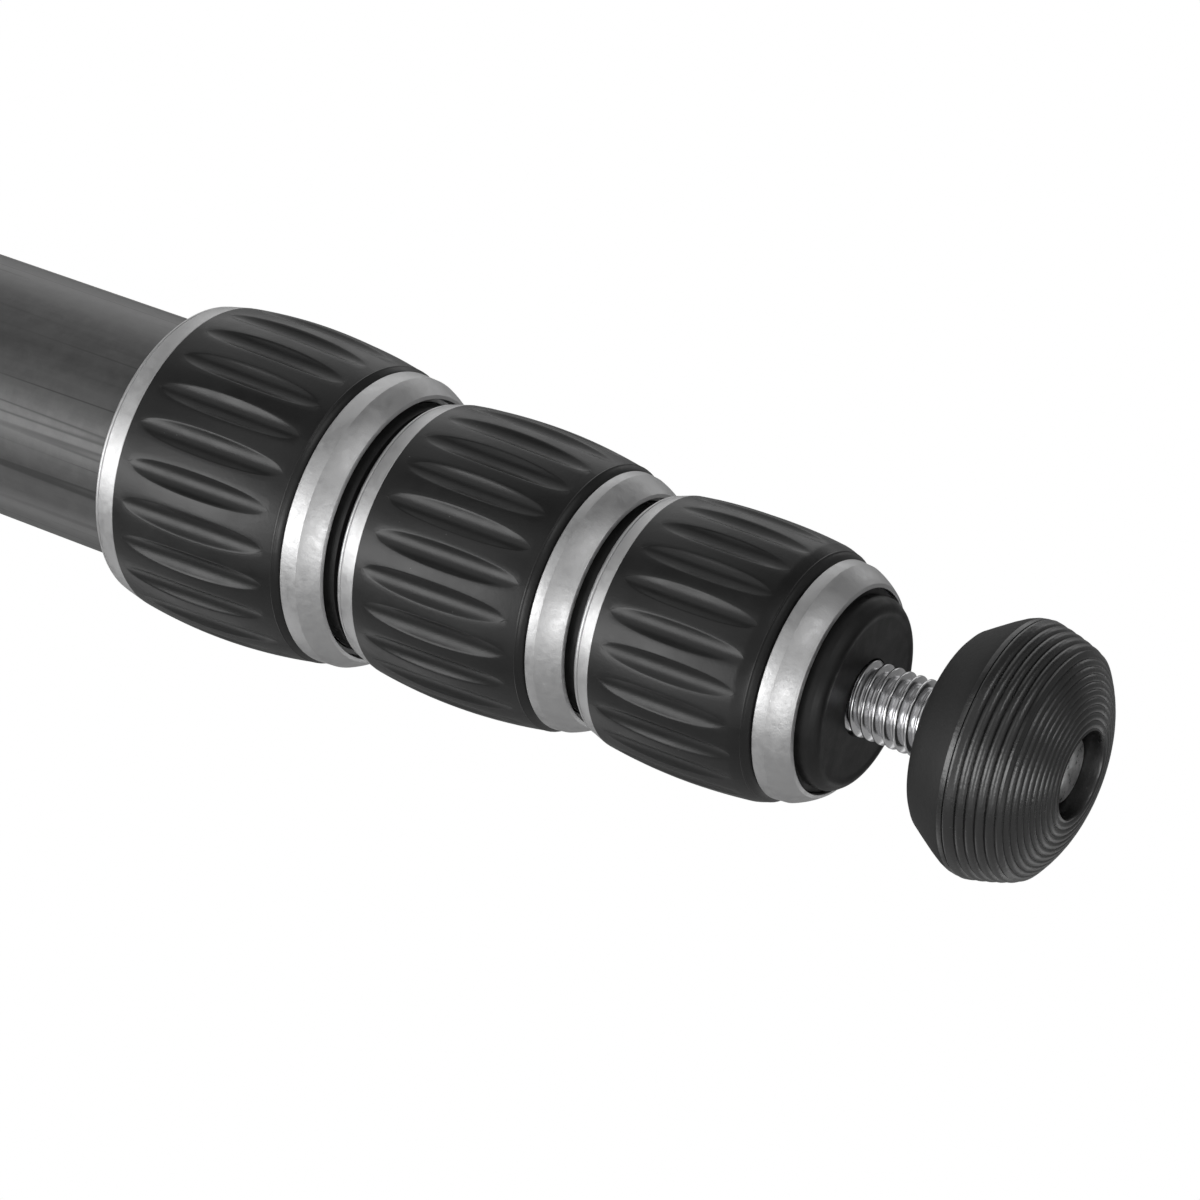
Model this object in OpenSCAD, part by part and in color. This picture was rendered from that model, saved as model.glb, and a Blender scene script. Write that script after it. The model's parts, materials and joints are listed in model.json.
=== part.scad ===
// Travel tripod: three four-section legs with twist locks, a hub and a centre column.
// Millimetres, +Z up. The origin is the middle of the top plate's face, where the head screw leaves it.
// A leg is drawn in its own frame: the origin is its pivot, +Z runs down the leg and +X points inward.

/* [Stance] */
// Angle between a leg and the vertical
stance = 23; // [18:0.5:26]
// Direction of the first leg, seen from above
first_leg = -90; // [-180:15:180]

/* [Leg tubes] */
// Pivot to the upper edge of the first lock's rubber grip
pivot_to_lock = 322; // [260:1:400]
// Outside diameter of the upper leg tube
tube_d = 27.5; // [26.5:0.1:28.2]
// How much thinner each next tube is
tube_step = 3.5; // [3.3:0.1:3.8]
// Wall of every leg tube
tube_wall = 1; // [0.8:0.1:1.2]
// Pivot to the upper end of the upper tube
tube_top = 30; // [29:0.5:34]
// How much lower each next tube starts
nest_step = 4; // [2:0.5:10]
// Length of the guide bush on the upper end of a sliding tube
bush_l = 14; // [8:1:24]

/* [Twist locks] */
// Largest diameter of the first lock's grip
lock_1_d = 35.66; // [35.2:0.02:38]
// Largest diameter of the second lock's grip
lock_2_d = 31.3; // [31.2:0.02:33]
// Largest diameter of the third lock's grip
lock_3_d = 28.6; // [27.6:0.02:30]
// Length of the first lock's grip
lock_1_grip_l = 21.5; // [20:0.1:26]
// Length of the second lock's grip
lock_2_grip_l = 20.9; // [20:0.1:26]
// Length of the third lock's grip
lock_3_grip_l = 18.8; // [18:0.1:24]
// Length of the first lock's nose ring
lock_1_nose_l = 4.4; // [3.6:0.1:6]
// Length of the second lock's nose ring
lock_2_nose_l = 3.8; // [3.6:0.1:6]
// Length of the third lock's nose ring
lock_3_nose_l = 3.9; // [3.6:0.1:6]
// Gap between the first and second lock
lock_gap_1 = 1.85; // [1.5:0.05:4]
// Gap between the second and third lock
lock_gap_2 = 1.4; // [1.3:0.05:4]
// Width of the metal ring above a grip
entry_w = 2.2; // [1.5:0.1:3]
// How far the entry ring tapers in over its width
entry_taper = 0.6; // [0.3:0.05:0.8]
// How far the grip swells between its upper edge and its crown
grip_bulge = 0.58; // [0.4:0.02:0.8]
// Distance of the crown from the grip's upper edge
crown_at = 8.5; // [7:0.1:10]
// Length over which the grip's lower end rolls in
roll_l = 4; // [3:0.1:5]
// Radius of the nose ring's band below the grip's crown
band_drop = 1.5; // [1.4:0.02:1.7]
// Width of the nose ring's straight band
band_w = 1.5; // [1:0.1:2]
// How far the nose ring's cone runs in
cone_drop = 1.85; // [1.7:0.02:1.95]
// Radial wall of the threaded ferrule on a tube's lower end
ferrule_wall = 1; // [0.9:0.02:1.05]
// Radial wall of a lock's sleeve under its grip
sleeve_wall = 0.6; // [0.5:0.02:0.65]
// Length of a ferrule
ferrule_l = 13; // [10:0.5:14]
// Depth of the lip seal's seat in the nose ring
lip_seat = 1.2; // [0.8:0.1:1.6]
// How far the lip seal stands out of the nose ring
lip_proud = 0.8; // [0.4:0.05:1]

/* [Grip grooves] */
// Number of grooves round the first lock's grip
lock_1_grooves = 25; // [12:1:25]
// Number of grooves round the second and third locks' grips
lock_2_grooves = 24; // [12:1:24]
// Distance of a groove's upper end from the grip's upper edge
groove_from = 1.3; // [0.8:0.1:3]
// Distance of a groove's lower end from the grip's lower end
groove_to = 3; // [2.6:0.1:5]
// Radius of the cutter's rim, which sets a groove's width
cutter_r = 1.7; // [1.4:0.05:1.9]
// Radius of the arc that the cutter cuts along a grip
cutter_arc = 150; // [120:5:180]
// Number of finger grooves round the column's collar
collar_grooves = 18; // [12:1:20]

/* [Foot] */
// Diameter of the end cap
cap_d = 20.9; // [20:0.1:21]
// How far the end cap stands out of the last nose ring
cap_proud = 1.9; // [1:0.1:3]
// Length of the end cap inside the last tube
cap_plug_l = 17; // [14:0.5:20]
// Diameter of the foot's stud, over its thread
stud_d = 8; // [7:0.1:8.6]
// Stud length between the end cap and the foot
stud_gap = 10.1; // [9:0.1:14]
// Stud length inside the end cap
stud_in_cap = 14.5; // [12:0.1:16]
// Length of the rubber foot
foot_l = 14.2; // [13:0.1:18]
// Largest diameter of the rubber foot
foot_d = 27; // [25:0.1:30]
// Diameter of the foot's flat back
foot_back_d = 18.6; // [16:0.1:20]
// Diameter of the hole in the sole
sole_hole_d = 9.1; // [9:0.05:11]
// Depth of the stud's end inside the sole hole
stud_recess = 1.6; // [1:0.1:3]
// Ridges round the foot's side
side_ridges = 5; // [3:1:7]
// Ridges over the foot's front
front_ridges = 8; // [5:1:10]
// Depth of the valleys between ridges
ridge_depth = 0.4; // [0.2:0.05:0.5]

/* [Hub and leg castings] */
// Distance of a leg's pivot from the column's axis
pivot_r = 42; // [41:0.5:50]
// Height of the hub's body
hub_h = 32; // [28:1:36]
// Diameter of the hub's body
hub_d = 43; // [40:0.5:44]
// Width of a hub lug, between a casting's cheeks
lug_w = 16; // [14:0.5:18]
// Radius of a lug and of a cheek's round end
lug_r = 10; // [9:0.25:10.5]
// Radius of the stop teeth on a lug
tooth_r = 14.2; // [13.5:0.1:14.4]
// Leg opening between the first and the second stop
stop_step = 57; // [52:1:62]
// Width of a stop tooth, as an angle
tooth_angle = 12; // [8:1:14]
// Thickness of a casting's cheek
cheek_t = 6.5; // [5.5:0.25:7]
// Diameter of the pivot bolt
bolt_d = 6; // [5:0.5:7]
// Diameter of the pivot bolt's heads
bolt_head_d = 11; // [9:0.5:12]
// Wall of the casting round the upper tube
socket_wall = 2.8; // [2:0.1:3.5]
// Length of the upper tube inside its casting
socket_grip = 30; // [24:1:40]

/* [Angle stops] */
// Thickness of the pull-out stop plate
stop_t = 3; // [2.5:0.1:3.5]
// How far the stop plate pulls out
stop_travel = 6; // [5:0.25:6.5]
// Thickness of the stop plate's finger edge
stop_edge_t = 2.5; // [2:0.1:3]

/* [Column] */
// Outside diameter of the column tube
column_d = 25; // [23:0.1:25.2]
// Wall of the column tube
column_wall = 1.5; // [1.2:0.1:2]
// Length of the column tube
column_l = 290; // [200:5:320]
// Height of the column's locking collar
collar_h = 20; // [18:0.5:24]
// Largest diameter of the locking collar
collar_d = 39; // [38.5:0.1:39.6]
// Diameter of the top plate
plate_d = 45; // [42:0.5:46]
// Thickness of the top plate
plate_t = 6; // [5:0.5:8]
// Height of the boss under the top plate
boss_h = 5; // [4:0.5:8]
// Diameter of the head screw, over its 3/8 inch thread
head_screw_d = 9.525; // [6.35, 9.525]
// Height of the head screw above the top plate
head_screw_h = 11; // [5:0.5:12]

/* [Hidden] */
LEG_PARTS = [
    "casting", "angle_stop", "tube_1", "clamp_1", "lock_1_sleeve", "lock_1_grip",
    "tube_2", "clamp_2", "lock_2_sleeve", "lock_2_grip",
    "tube_3", "clamp_3", "lock_3_sleeve", "lock_3_grip",
    "tube_4", "end_cap", "foot_stud", "foot_pad"
];
$fn = 96;

// Clearances
thread_gap = 0.08;
slide_gap = 0.05;
seat_gap = 0.3;
cone_gap = 0.35;
glue_gap = 0.05;
eps = 0.01;
far = 100;

// Sizes of each lock, by its number
lock_r = [0, lock_1_d / 2, lock_2_d / 2, lock_3_d / 2];
grip_l = [0, lock_1_grip_l, lock_2_grip_l, lock_3_grip_l];
nose_l = [0, lock_1_nose_l, lock_2_nose_l, lock_3_nose_l];
groove_n = [0, lock_1_grooves, lock_2_grooves, lock_2_grooves];
groove_turn = [0, 11.7, 10.4, 7.9]; // each grip's first groove, measured from +X toward +Y

// Stations down the leg of each lock, measured to its grip's upper edge
lock_1_at = pivot_to_lock;
lock_2_at = lock_1_at + lock_1_grip_l + lock_1_nose_l + lock_gap_1 + entry_w;
lock_3_at = lock_2_at + lock_2_grip_l + lock_2_nose_l + lock_gap_2 + entry_w;
lock_at = [0, lock_1_at, lock_2_at, lock_3_at];
nose_end = lock_3_at + lock_3_grip_l + lock_3_nose_l;
cap_face = nose_end + cap_proud;
foot_back = cap_face + stud_gap;
foot_end = foot_back + foot_l;
stud_end = foot_end - stud_recess;

// The tubes fit one in the next
function tube_r(n) = (tube_d - (n - 1) * tube_step) / 2;
function bore_r(n) = tube_r(n) - tube_wall;
function tube_start(n) = tube_top + (n - 1) * nest_step;
function ferrule_r(n) = tube_r(n) + ferrule_wall;
function sleeve_bore(n) = ferrule_r(n) + thread_gap;
function core_r(n) = sleeve_bore(n) + sleeve_wall;
ferrule_from = 1.5;
ferrule_to = ferrule_from + ferrule_l;
cap_lip_w = 2.7;
collet_entry = 2;

// A grip's barrel: a long arc with its crown at crown_at, rolled in at its lower end
arc_r = (pow(crown_at, 2) + pow(grip_bulge, 2)) / (2 * grip_bulge);
function arc_at(n, h) = lock_r[n] - arc_r + sqrt(pow(arc_r, 2) - pow(h - crown_at, 2));
function roll_at(n) = grip_l[n] - roll_l;
function roll_drop(n) = arc_at(n, roll_at(n)) - (lock_r[n] - band_drop) - 0.1;
function roll_r(n) = (pow(roll_l, 2) + pow(roll_drop(n), 2)) / (2 * roll_drop(n));
function roll_centre(n) = arc_at(n, roll_at(n)) - roll_r(n);
function rolled_at(n, h) = roll_centre(n) + sqrt(pow(roll_r(n), 2) - pow(h - roll_at(n), 2));
function barrel_at(n, h) = (h <= roll_at(n)) ? arc_at(n, h) : min(arc_at(n, h), rolled_at(n, h));

// Heights of the hub and the column's parts
collar_top = -(plate_t + boss_h + 0.5);
neck_l = collar_h - 3;
hub_top = collar_top - collar_h - 0.5;
pivot_z = hub_top - hub_h / 2;
column_r = column_d / 2;
column_bore = column_r + slide_gap;
neck_r = column_r + 3;
thread_relief = 0.5;

// Angle stop: a plate below the lug, clear of the lug's teeth while it is pulled out
cheek_y = lug_w / 2 + 0.2;
casting_y = cheek_y + cheek_t;
slot_r = tooth_r + 0.8;
cheek_r = lug_r + 2;
housing_x = cheek_r + 2.5;
stop_top = lug_r + 1;
stop_bottom = stop_top + stop_t;
stop_w = lug_w + 4;
stop_in = sqrt(pow(tooth_r + 0.35, 2) - pow(stop_top, 2));
stop_edge = housing_x + seat_gap + stop_travel;
stop_contact = atan2(stop_top, sqrt(pow(tooth_r, 2) - pow(stop_top, 2)));
socket_r = tube_r(1) + socket_wall;
bolt_recess = 3;
shoulder_r = min(collar_d / 2 - 1.5, pivot_r - stop_edge - stop_edge_t - 2 * seat_gap);

module leg_frame(leg) {
    rotate([0, 0, first_leg + 120 * (leg - 1)])
        translate([pivot_r, 0, pivot_z])
            rotate([0, 180 - stance, 0])
                children();
}

module ring(outer, inner, from, to) {
    translate([0, 0, from])
        difference() {
            cylinder(r = outer, h = to - from);
            translate([0, 0, -1])
                cylinder(r = inner, h = to - from + 2);
        }
}

// A round pin across the leg, along the pivot's axis
module cross_pin(r, half_length) {
    rotate([90, 0, 0])
        cylinder(r = r, h = 2 * half_length, center = true);
}

module hub() {
    color([0.13, 0.13, 0.14]) {
        difference() {
            union() {
                translate([0, 0, pivot_z])
                    hub_body();
                for (leg = [0:2]) {
                    rotate([0, 0, first_leg + 120 * leg])
                        translate([0, 0, pivot_z])
                            hub_lug();
                }
            }
            translate([0, 0, pivot_z - far])
                cylinder(r = column_bore, h = 2 * far);
            for (leg = [0:2]) {
                rotate([0, 0, first_leg + 120 * leg])
                    translate([pivot_r, 0, pivot_z])
                        cross_pin(bolt_d / 2 + slide_gap, far);
            }
            neck_slits();
        }
    }
}

module hub_body() {
    shoulder = hub_h / 2 - 8;
    rotate_extrude()
        polygon([
            [0, -hub_h / 2],
            [hub_d / 2 - 2, -hub_h / 2],
            [hub_d / 2, -hub_h / 2 + 2],
            [hub_d / 2, shoulder - 4],
            [shoulder_r, shoulder],
            [shoulder_r, hub_h / 2],
            [neck_r, hub_h / 2],
            [neck_r, hub_h / 2 + neck_l - 1],
            [neck_r - 1, hub_h / 2 + neck_l],
            [0, hub_h / 2 + neck_l]
        ]);
}

// One arm with its round lug and the two teeth that the angle stop meets
module hub_lug() {
    waist_r = lug_w / 2 + 1;
    waist_x = (pivot_r + hub_d / 2) / 2 - 2;
    difference() {
        union() {
            translate([0, -lug_w / 2, -lug_r])
                cube([pivot_r, lug_w, 2 * lug_r]);
            translate([pivot_r, 0, 0]) {
                cross_pin(lug_r, lug_w / 2);
                lug_tooth(0);
                lug_tooth(stop_step);
            }
        }
        for (side = [-1, 1]) {
            translate([waist_x, side * (waist_r + lug_w / 2 - 3), 0])
                cylinder(r = waist_r, h = 4 * lug_r, center = true);
        }
    }
}

// A tooth whose lower face stops the leg once it has opened this far past its stance
module lug_tooth(opening) {
    play = 0.5;
    from = stance - stop_contact + opening + play;
    rotate([0, -from, 0])
        rotate([90, 0, 0])
            rotate_extrude(angle = tooth_angle)
                translate([0, -lug_w / 2])
                    square([tooth_r, lug_w]);
}

module neck_slits() {
    for (turn = [45, 135]) {
        translate([0, 0, hub_top + neck_l / 2 + 4])
            rotate([0, 0, turn])
                cube([4 * neck_r, 1, neck_l], center = true);
    }
}

// Three identical bolts, each with a round head and a nut in the casting's recesses
module pivot_bolts() {
    color([0.75, 0.75, 0.77])
        for (leg = [1:3]) {
            rotate([0, 0, first_leg + 120 * (leg - 1)])
                translate([pivot_r, 0, pivot_z])
                    pivot_bolt();
        }
}

module pivot_bolt() {
    reach = casting_y - bolt_recess + seat_gap;
    head_t = bolt_recess - seat_gap - 0.1;
    cross_pin(bolt_d / 2, reach);
    for (side = [-1, 1]) {
        translate([0, side * (reach + head_t / 2), 0])
            difference() {
                cross_pin(bolt_head_d / 2, head_t / 2);
                if (side > 0) {
                    translate([0, head_t / 2, 0])
                        rotate([90, 0, 0])
                            cylinder(r = bolt_d / 3, h = 0.7 * head_t * 2, center = true, $fn = 6);
                }
            }
    }
}

// The fork that carries the leg: two cheeks, the stop's housing and the tube's socket
module leg_casting() {
    color([0.13, 0.13, 0.14])
        difference() {
            union() {
                cheeks();
                casting_socket();
            }
            translate([-far, -cheek_y, -2 * slot_r])
                cube([2 * far, 2 * cheek_y, 2 * slot_r + stop_top]);
            cross_pin(slot_r, cheek_y);
            cross_pin(bolt_d / 2 + 2 * slide_gap, far);
            for (side = [-1, 1]) {
                translate([0, side * (casting_y - bolt_recess + far), 0])
                    cross_pin(bolt_head_d / 2 + seat_gap, far);
            }
            translate([0, 0, tube_top])
                cylinder(r = tube_r(1) + glue_gap, h = far);
            stop_way();
        }
}

module cheeks() {
    intersection() {
        union() {
            cross_pin(cheek_r, casting_y);
            translate([-cheek_r, -casting_y, 0])
                cube([2 * cheek_r, 2 * casting_y, tube_top - 2]);
            translate([-housing_x, -casting_y, stop_top - 3])
                cube([housing_x, 2 * casting_y, tube_top - stop_top]);
        }
        translate([0, 0, -cheek_r])
            cylinder(r = socket_r + 1, h = cheek_r + tube_top);
    }
}

// The socket round the upper tube, with a raised collar at its lower end
module casting_socket() {
    top = stop_bottom + 2;
    bottom = tube_top + socket_grip;
    rotate_extrude()
        polygon([
            [0, top],
            [socket_r - 4, top],
            [socket_r, top + 5],
            [socket_r, bottom - 8],
            [socket_r + 0.8, bottom - 7.2],
            [socket_r + 0.8, bottom - 1],
            [socket_r - 0.2, bottom],
            [0, bottom]
        ]);
}

// The stop plate's way through the housing, with a groove for it in each cheek
module stop_way() {
    translate([-far, -stop_w / 2 - slide_gap, stop_top - slide_gap])
        cube([far + 1, stop_w + 2 * slide_gap, stop_t + 2 * slide_gap]);
}

// The stop plate, pulled out so that the leg can swing, with its ribbed finger edge
module angle_stop() {
    rib_r = 0.6;
    edge_x = -stop_edge - stop_edge_t;
    color([0.62, 0.62, 0.64])
        difference() {
            union() {
                translate([edge_x, -stop_w / 2, stop_top])
                    cube([stop_edge + stop_edge_t - stop_in, stop_w, stop_t]);
                translate([edge_x, -stop_w / 2, stop_top])
                    cube([stop_edge_t, stop_w, stop_t + 2]);
            }
            for (rib = [-3:3]) {
                translate([edge_x, rib * stop_w / 8, stop_top - 1])
                    cylinder(r = rib_r, h = stop_t + 4);
            }
        }
}

// Leg tube n, with a guide bush glued on the upper end of a sliding one
module leg_tube(n) {
    end = (n < 4) ? lock_at[n] + ferrule_to : cap_face - cap_lip_w;
    bush_at = tube_start(n) + 1;
    color([0.22, 0.22, 0.23])
        ring(tube_r(n), bore_r(n), tube_start(n), end);
    if (n > 1) {
        color([0.1, 0.1, 0.1])
            ring(bore_r(n - 1) - slide_gap, tube_r(n) + glue_gap, bush_at, bush_at + bush_l);
    }
}

// What lock n clamps with: the threaded ferrule on tube n and the split collet on tube n + 1
module clamp(n) {
    color([0.1, 0.1, 0.1]) {
        ring(ferrule_r(n), tube_r(n) + glue_gap, lock_at[n] + ferrule_from, lock_at[n] + ferrule_to);
        collet(n);
    }
}

module collet(n) {
    inner = tube_r(n + 1) + slide_gap;
    from = lock_at[n] + ferrule_to + thread_gap;
    end = lock_at[n] + grip_l[n] + nose_l[n];
    seat = end - lip_seat;
    lip = (n < 3) ? end + lip_proud : cap_face - cap_lip_w - seat_gap;
    slit_l = seat - 2.5 - from;
    difference() {
        rotate_extrude()
            polygon([
                [inner, from],
                [ferrule_r(n), from],
                [ferrule_r(n), from + collet_entry],
                [collet_r(n), seat - 2],
                [collet_r(n), (n < 3) ? seat + 0.2 : lip],
                [(n < 3) ? lip_r(n) : collet_r(n), (n < 3) ? seat + 0.2 : lip],
                [(n < 3) ? lip_r(n) : collet_r(n), lip],
                [inner, lip]
            ]);
        for (turn = [0, 90]) {
            translate([0, 0, from + slit_l / 2 - 1])
                rotate([0, 0, turn])
                    cube([far, 1.2, slit_l + 2], center = true);
        }
    }
}

// Outside radii of a collet's nose and of its lip seal
function collet_r(n) = tube_r(n + 1) + ((n < 3) ? 0.9 : 1.1);
function nose_end_r(n) = lock_r[n] - band_drop - cone_drop;
function lip_r(n) = nose_end_r(n) - 0.65;

// The metal sleeve of lock n: entry ring, core under the grip and nose ring
module lock_sleeve(n) {
    r = lock_r[n];
    end = grip_l[n] + nose_l[n];
    mouth = (n < 3) ? lip_r(n) + 0.1 : cap_d / 2 + 0.12;
    mouth_l = (n < 3) ? lip_seat : cap_lip_w - cap_proud + seat_gap;
    exit_r = collet_r(n) + cone_gap;
    color([0.78, 0.78, 0.79])
        translate([0, 0, lock_at[n]])
            rotate_extrude()
                polygon([
                    [tube_r(n) + seat_gap, -entry_w],
                    [r - grip_bulge - entry_taper - 0.2, -entry_w],
                    [r - grip_bulge - entry_taper, -entry_w + 0.6],
                    [r - grip_bulge, 0],
                    [core_r(n), 0],
                    [core_r(n), grip_l[n]],
                    [r - band_drop, grip_l[n]],
                    [r - band_drop, grip_l[n] + band_w],
                    [nose_end_r(n), end],
                    [mouth, end],
                    [mouth, end - mouth_l],
                    [exit_r, end - mouth_l],
                    [exit_r, end - lip_seat - 2],
                    [sleeve_bore(n), ferrule_to + collet_entry + cone_gap],
                    [sleeve_bore(n), ferrule_from - 0.5],
                    [tube_r(n) + seat_gap, ferrule_from - 0.5]
                ]);
}

// The rubber grip of lock n: a barrel with lens-shaped grooves ground into it all round
module lock_grip(n) {
    color([0.09, 0.09, 0.09])
        translate([0, 0, lock_at[n]])
            difference() {
                rotate_extrude($fn = 180)
                    barrel(n);
                grooves(n);
            }
}

// Half section of a grip's barrel
module barrel(n) {
    inner = core_r(n) + glue_gap;
    outer = lock_r[n] + 1;
    intersection() {
        translate([inner, 0])
            square([outer - inner, grip_l[n]]);
        translate([lock_r[n] - arc_r, crown_at])
            circle(r = arc_r, $fn = 720);
        union() {
            square([outer, roll_at(n) + roll_l / 8]);
            translate([roll_centre(n), roll_at(n)])
                circle(r = roll_r(n), $fn = 180);
        }
    }
}

// Round-rimmed cutters that dip into the barrel, leaned so that both ends of a groove run out on it
module grooves(n) {
    half = (grip_l[n] - groove_to - groove_from) / 2;
    start_r = barrel_at(n, groove_from);
    end_r = barrel_at(n, groove_from + 2 * half);
    lean = atan2(end_r - start_r, 2 * half);
    reach = asin(half / cutter_arc) + 0.6;
    for (i = [0:groove_n[n] - 1]) {
        rotate([0, 0, groove_turn[n] + i * 360 / groove_n[n]])
            translate([(start_r + end_r) / 2, 0, groove_from + half])
                rotate([0, lean, 0])
                    translate([sqrt(pow(cutter_arc, 2) - pow(half, 2)), 0, 0])
                        rotate([90, 0, 0])
                            rotate_extrude(angle = 2 * reach, start = 180 - reach, $fn = 720)
                                translate([cutter_arc - cutter_r, 0])
                                    circle(r = cutter_r, $fn = 48);
    }
}

// The black cap that closes the last tube and carries the foot's thread
module end_cap() {
    r = cap_d / 2;
    round_r = 0.9;
    color([0.1, 0.1, 0.1])
        difference() {
            rotate_extrude()
                difference() {
                    union() {
                        translate([0, cap_face - cap_lip_w])
                            square([r, cap_lip_w - round_r]);
                        translate([0, cap_face - cap_lip_w])
                            square([r - round_r, cap_lip_w]);
                        translate([r - round_r, cap_face - round_r])
                            circle(r = round_r, $fn = 48);
                        translate([0, cap_face - cap_plug_l])
                            square([bore_r(4) - glue_gap, cap_plug_l - eps]);
                    }
                    translate([r - 1.9, cap_face + 0.25])
                        circle(r = 0.45, $fn = 48);
                }
            translate([0, 0, cap_face - cap_plug_l - 1])
                cylinder(r = stud_d / 2 + slide_gap, h = cap_plug_l + 2);
        }
}

module foot_stud() {
    r = stud_d / 2;
    from = cap_face - stud_in_cap;
    color([0.7, 0.7, 0.72])
        rotate_extrude()
            polygon([
                [0, from],
                [r - 0.7, from],
                [r, from + 0.7],
                [r, stud_end - 0.5],
                [r - 0.5, stud_end],
                [0, stud_end]
            ]);
}

// The rubber foot: a smooth back cone, ridges round its side and over its domed front
module foot_pad() {
    r = foot_d / 2;
    hole = sole_hole_d / 2;
    seam = 0.42 * foot_l;
    shoulder = [r - 1.35, foot_l - 3.1];
    color([0.08, 0.08, 0.08])
        translate([0, 0, foot_back])
            rotate_extrude()
                polygon(concat(
                    [
                        [stud_d / 2 + slide_gap, 0],
                        [foot_back_d / 2, 0],
                        [foot_back_d / 2 + 0.9, 0.25],
                        [foot_back_d / 2 + 1.4, 0.7],
                        [r - 0.15, seam - 1],
                        [r, seam - 0.5],
                        [r, seam]
                    ],
                    ridge_line([r, seam], shoulder, side_ridges),
                    ridge_line(shoulder, [hole + 0.3, foot_l], front_ridges),
                    [
                        [hole + 0.3, foot_l],
                        [hole, foot_l - 0.3],
                        [hole, foot_l - stud_recess - 1],
                        [stud_d / 2 + slide_gap, foot_l - stud_recess - 1]
                    ]
                ));
}

// Points of evenly spaced ridges from a to b, on a line that bows outward, valley by valley
function ridge_line(a, b, count) = [
    for (i = [0:count - 1], edge = [0.12, 0.3, 0.82, 0.96])
        let (
            t = (i + edge) / count,
            along = b - a,
            out = [along[1], -along[0]] / norm(along),
            bow = 0.1 * norm(along) * 4 * t * (1 - t) * ((a[0] - b[0] > foot_l / 4) ? 1 : 0.3),
            deep = (edge < 0.2 || edge > 0.9) ? ridge_depth : 0
        )
        a + along * t + out * (bow - deep)
];

// The column tube and the plug in its lower end
module column_tube() {
    end = -plate_t - column_l;
    color([0.2, 0.2, 0.21])
        ring(column_r, column_r - column_wall, end, -plate_t);
    color([0.1, 0.1, 0.1])
        translate([0, 0, end])
            rotate_extrude()
                polygon([
                    [0, -2.5],
                    [column_r - 1, -2.5],
                    [column_r, -1.5],
                    [column_r, -glue_gap],
                    [column_r - column_wall - glue_gap, -glue_gap],
                    [column_r - column_wall - glue_gap, 12],
                    [column_r - column_wall - 2, 12],
                    [column_r - column_wall - 2, 1],
                    [0, 1]
                ]);
}

// The twist collar on the hub's neck, with finger grooves like the leg locks'
module column_lock() {
    collar_bottom = collar_top - collar_h;
    color([0.12, 0.12, 0.13])
        difference() {
            translate([0, 0, collar_bottom])
                rotate_extrude($fn = 180)
                    polygon([
                        [neck_r + thread_gap, 0],
                        [collar_d / 2 - 1.2, 0],
                        [collar_d / 2, 1.2],
                        [collar_d / 2, collar_h - 4],
                        [collar_d / 2 - 2.2, collar_h],
                        [column_r + seat_gap, collar_h],
                        [column_r + seat_gap, collar_h - 2.2],
                        [neck_r + thread_gap, collar_h - 2.2]
                    ]);
            for (i = [0:collar_grooves - 1]) {
                rotate([0, 0, i * 360 / collar_grooves])
                    translate([collar_d / 2 + 0.9, 0, collar_bottom + 3.5])
                        cylinder(r = 1.9, h = collar_h - 9, $fn = 32);
            }
        }
}

// The plate that the camera head sits on, with a rim of fine grip notches
module top_plate() {
    r = plate_d / 2;
    bottom = -plate_t - boss_h;
    recess = 0.6;
    color([0.12, 0.12, 0.13])
        difference() {
            rotate_extrude($fn = 180)
                polygon([
                    [0, bottom],
                    [column_r + 3.5, bottom],
                    [column_r + 4.5, bottom + 1],
                    [column_r + 4.5, -plate_t],
                    [r - 1, -plate_t],
                    [r, -plate_t + 1],
                    [r, -0.8],
                    [r - 0.8, 0],
                    [0, 0]
                ]);
            translate([0, 0, bottom - 1])
                cylinder(r = column_r + glue_gap, h = boss_h + 1);
            translate([0, 0, -far / 2])
                cylinder(r = head_screw_d / 2 - thread_relief + glue_gap, h = far);
            translate([0, 0, -recess])
                cylinder(r = head_screw_d / 2 + 3, h = 2 * recess);
            for (i = [0:47]) {
                rotate([0, 0, i * 7.5])
                    translate([r + 0.35, 0, -plate_t + 1.2])
                        cylinder(r = 0.8, h = plate_t - 2.4, $fn = 24);
            }
        }
}

// The head screw, with its head under the plate inside the column
module head_screw() {
    r = head_screw_d / 2;
    tip = 0.8;
    color([0.75, 0.75, 0.77]) {
        translate([0, 0, -plate_t - eps])
            cylinder(r = r - thread_relief, h = plate_t + 2 * eps);
        cylinder(r = r, h = head_screw_h - tip);
        translate([0, 0, head_screw_h - tip])
            cylinder(r1 = r, r2 = r - tip, h = tip);
        translate([0, 0, -plate_t - 4])
            cylinder(r = 8, h = 4, $fn = 6);
    }
}

hub();
pivot_bolts();
column_tube();
column_lock();
top_plate();
head_screw();
for (leg = [1:3]) {
    leg_frame(leg) leg_casting();
    leg_frame(leg) angle_stop();
    leg_frame(leg) end_cap();
    leg_frame(leg) foot_stud();
    leg_frame(leg) foot_pad();
    for (n = [1:4]) {
        leg_frame(leg) leg_tube(n);
    }
    for (n = [1:3]) {
        leg_frame(leg) clamp(n);
        leg_frame(leg) lock_sleeve(n);
        leg_frame(leg) lock_grip(n);
    }
}
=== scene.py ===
"""Looks of the travel tripod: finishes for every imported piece, and finely made leg ends and head screw."""
import json
import math
import random

import bmesh
import bpy
from mathutils import Matrix, Vector


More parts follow.
